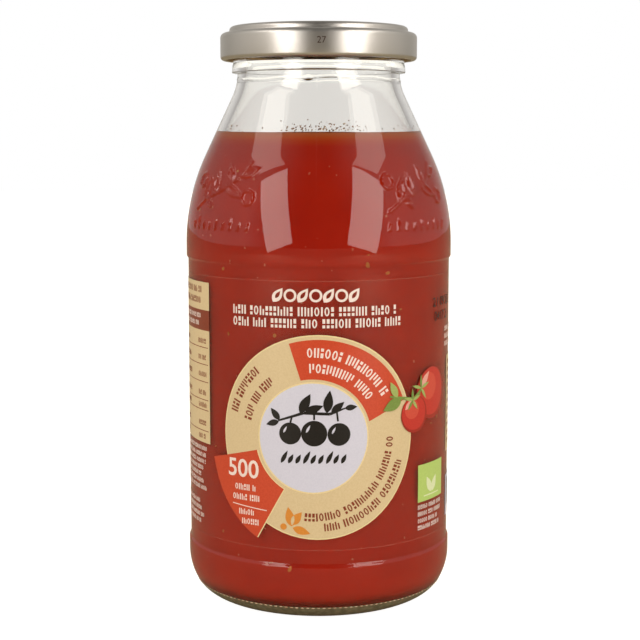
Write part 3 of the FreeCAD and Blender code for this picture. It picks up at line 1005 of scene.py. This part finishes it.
def specks(draw, count, size, sink):
    """Beads of a range of lengths, all round and up to just under the top of the sauce."""
    result = []
    for _ in range(count):
        length = draw.uniform(*size)
        result.append((draw.uniform(0, 360), draw.uniform(14, FILL - 6), sink, draw.uniform(0, 3.1),
                       length, length * draw.uniform(0.55, 0.9), 0.25))
    return result


LID_NUMBER_FOOT = 157.2
KNURLS = 150


def lid_number():
    """A plain number stamped in ink on the skirt of the lid."""
    curve = bpy.data.curves.new("lid_digits", "FONT")
    curve.body = "27"
    curve.size = 2.5
    curve.extrude = 0.01
    curve.resolution_u = 4
    curve.align_x = "CENTER"
    flat = bpy.data.objects.new("lid_number_flat", curve)
    bpy.context.scene.collection.objects.link(flat)
    mesh = bpy.data.meshes.new_from_object(flat)
    bpy.data.objects.remove(flat)
    for vert in mesh.vertices:
        angle = vert.co.x / LID_RADIUS + math.radians(1.6)
        reach = LID_RADIUS - 0.005 + vert.co.z
        height = vert.co.y + LID_NUMBER_FOOT
        vert.co = Vector((reach * math.sin(angle), -reach * math.cos(angle), height)) * MM
    mesh.materials.clear()
    return place_piece(new_object("lid_number", mesh, [DATE_INK], sharp=60), "tinplate")


def foot_beads():
    """The row of small knurls that the foot's roughened ring ends in, coloured pale orange as
    painted highlights that the knurls catch.
    """
    work = bmesh.new()
    lift = math.asin((FOOT_ROUND - KNURLED) / FOOT_ROUND)
    radius = BODY_RADIUS - HEEL_ROUND + (HEEL_ROUND - FOOT_ROUND) * math.cos(
        math.radians(HEEL_TURN)) + FOOT_ROUND * math.cos(lift)
    for k in range(KNURLS):
        turn = math.radians(360 / KNURLS * k)
        out = Vector((math.sin(turn) * math.cos(lift), -math.cos(turn) * math.cos(lift),
                      -math.sin(lift)))
        lens(work, Vector((radius * math.sin(turn), -radius * math.cos(turn), KNURLED)), out, 0.0,
             0.9, 0.42, 0.22)
    mesh = bpy.data.meshes.new("foot_beads")
    work.to_mesh(mesh)
    work.free()
    return place_piece(new_object("foot_beads", mesh, [KNURL_GLINT_PAINT], sharp=180), "clear_glass")


lid_number()
foot_beads()

draw = random.Random(7)
chosen_seeds = [(-12.4, 15.2, 1.6), (-20.8, 16.5, 1.3), (21.0, 98.4, 1.8), (30.5, 96.0, 1.5),
                (-42.0, 79.0, 1.2), (64.0, 54.0, 1.2)]
seeds = [(angle, height, WET - 0.02, draw.uniform(0, 3.1), size, size * 0.62, 0.35)
         for angle, height, size in chosen_seeds]
seeds += specks(draw, 26, (0.7, 1.4), WET - 0.02)
scattered("seeds", "passata", SEED, seeds)
scattered("pulp_specks", "passata", PULP, specks(draw, 130, (0.35, 0.9), WET - 0.02))

froth = []
for _ in range(150):
    angle = draw.gauss(4, 14) if draw.random() < 0.75 else draw.uniform(-180, 180)
    height = FILL + 0.1 + abs(draw.gauss(0, 1.1))
    size = draw.uniform(0.15, 0.55)
    froth.append((angle, height, 0.1, draw.uniform(0, 3.1), size, size * draw.uniform(0.7, 1), 0.5))
scattered("froth", "passata", FROTH, froth)

# ---------------------------------------------------------------- stage

def stage_white(name, shade):
    """Matt white paper that the camera sees as white, with the bottle's shadow."""
    material, tree, shader = principled(name, Base_Color=linear(shade), Roughness=0.9)
    path = add(tree, "ShaderNodeLightPath")
    seen = add(tree, "ShaderNodeMath", {"operation": "MAXIMUM"},
               _0=path.outputs["Is Camera Ray"], _1=path.outputs["Is Transmission Ray"])
    glow = add(tree, "ShaderNodeEmission", Color=(1, 1, 1, 1), Strength=0.95)
    both = add(tree, "ShaderNodeAddShader", _0=shader.outputs[0], _1=glow.outputs[0])
    mix = add(tree, "ShaderNodeMixShader", _0=seen.outputs[0], _1=shader.outputs[0],
              _2=both.outputs[0])
    out = next(n for n in tree.nodes if n.type == "OUTPUT_MATERIAL")
    tree.links.new(mix.outputs[0], out.inputs[0])
    return material


def flat_sheet(name, corners, material):
    """A flat piece of the stage."""
    mesh = bpy.data.meshes.new(name)
    mesh.from_pydata(corners, [], [range(len(corners))])
    mesh.materials.append(material)
    sheet = bpy.data.objects.new(name, mesh)
    bpy.context.scene.collection.objects.link(sheet)
    return sheet


FILL_LIGHT = 0.75      # what the room adds where it only lights, and isn't mirrored
LAMP_COLOUR = (1.0, 0.95, 0.88)


def studio_world():
    """White where the camera looks past the bottle.  As light and in reflections the room is
    bright behind the bottle, grey beside it and dark behind the camera and overhead."""
    world = bpy.data.worlds.new("studio")
    bpy.context.scene.world = world
    world.use_nodes = True
    tree = world.node_tree
    tree.nodes.clear()
    where = add(tree, "ShaderNodeTexCoord")
    parts = add(tree, "ShaderNodeSeparateXYZ", Vector=where.outputs["Generated"])
    depth = add(tree, "ShaderNodeMapRange", Value=parts.outputs["Y"], From_Min=-1, From_Max=1)
    room = shades(tree, depth.outputs[0], (0.0, "#1C1C1C"), (0.06, "#242322"), (0.3, "#E4DCD0"),
                  (0.6, "#D2CDC4"), (0.84, "#B0ACA4"), (0.95, "#C8C4BC"))
    through = shades(tree, depth.outputs[0], (0.0, "#695F56"), (0.3, "#907F70"),
                     (0.6, "#A39282"), (0.9, "#B2AEAC"), (0.985, "#F0ECEA"))
    path = add(tree, "ShaderNodeLightPath")
    side = add(tree, "ShaderNodeMath", {"operation": "ABSOLUTE"}, _0=parts.outputs["X"])
    away = add(tree, "ShaderNodeMath", {"operation": "MAXIMUM"}, _0=side.outputs[0],
               _1=parts.outputs["Y"])
    walls = add(tree, "ShaderNodeMapRange", Value=away.outputs[0], From_Min=0.15, From_Max=0.6,
                To_Min=0.15, To_Max=1.0)
    share = add(tree, "ShaderNodeMath", {"operation": "MULTIPLY_ADD"},
                _0=path.outputs["Is Diffuse Ray"], _1=FILL_LIGHT, _2=walls.outputs[0])
    mirrored = add(tree, "ShaderNodeVectorMath", {"operation": "SCALE"}, _0=room,
                   Scale=share.outputs[0])
    past = add(tree, "ShaderNodeMix", {"data_type": "RGBA"},
               _0=path.outputs["Is Transmission Ray"], _6=mirrored.outputs[0], _7=through)
    seen = add(tree, "ShaderNodeMix", {"data_type": "RGBA"}, _0=path.outputs["Is Camera Ray"],
               _6=past.outputs[2], _7=(1, 1, 1, 1))
    sky = add(tree, "ShaderNodeBackground", Color=seen.outputs[2], Strength=1.0)
    out = add(tree, "ShaderNodeOutputWorld")
    tree.links.new(sky.outputs[0], out.inputs[0])


def softbox(name, corner, beside, above, radiance):
    """A flat soft light with a corner here and two more beside and above it, in metres.  It
    shines to the side that the bottle is on."""
    corner, beside, above = Vector(corner), Vector(beside), Vector(above)
    middle = (beside + above) / 2
    along = (beside - corner).normalized()
    back = along.cross((above - corner).normalized()).normalized()
    if back.dot(middle) < 0:
        back = -back
    rise = back.cross(along)
    data = bpy.data.lights.new(name, "AREA")
    data.shape = "RECTANGLE"
    data.size = (beside - corner).length
    data.size_y = abs((above - corner).dot(rise))
    data.color = LAMP_COLOUR
    data.energy = radiance * math.pi * data.size * data.size_y
    light = bpy.data.objects.new(name, data)
    bpy.context.scene.collection.objects.link(light)
    turn = Matrix((along, rise, back)).transposed().to_4x4()
    light.matrix_world = Matrix.Translation(middle) @ turn


flat_sheet("floor", [(-3, -3, 0), (3, -3, 0), (3, 3, 0), (-3, 3, 0)],
           stage_white("paper", "#A3987F"))
studio_world()
softbox("left_low", (-0.379, -0.96, 0.12), (-0.767, -0.814, 0.017),
        (-0.444, -0.67, 0.778), 3.8)
softbox("right_low", (0.391, -0.915, 0.109), (0.889, -0.779, 0.005),
        (0.457, -0.601, 0.758), 3.8)
softbox("left_high", (-0.566, -0.751, 0.945), (-0.495, -0.278, 0.472),
        (-0.827, -0.465, 1.191), 2.0)
softbox("right_high", (0.566, -0.751, 0.945), (0.495, -0.278, 0.472),
        (0.827, -0.465, 1.191), 2.0)

# ---------------------------------------------------------------- camera

SENSOR = 36.0
LENS = 83.14
CAMERA_PLACE = (0.376, -427.4, 133.2)
CAMERA_DIP = 7.19      # degrees below level

camera_data = bpy.data.cameras.new("camera")
camera_data.sensor_width = SENSOR
camera_data.lens = LENS
camera = bpy.data.objects.new("camera", camera_data)
bpy.context.scene.collection.objects.link(camera)
camera.location = [c * MM for c in CAMERA_PLACE]
camera.rotation_euler = (math.radians(90 - CAMERA_DIP), 0, 0)
bpy.context.scene.camera = camera
bpy.context.scene.view_settings.view_transform = "Standard"
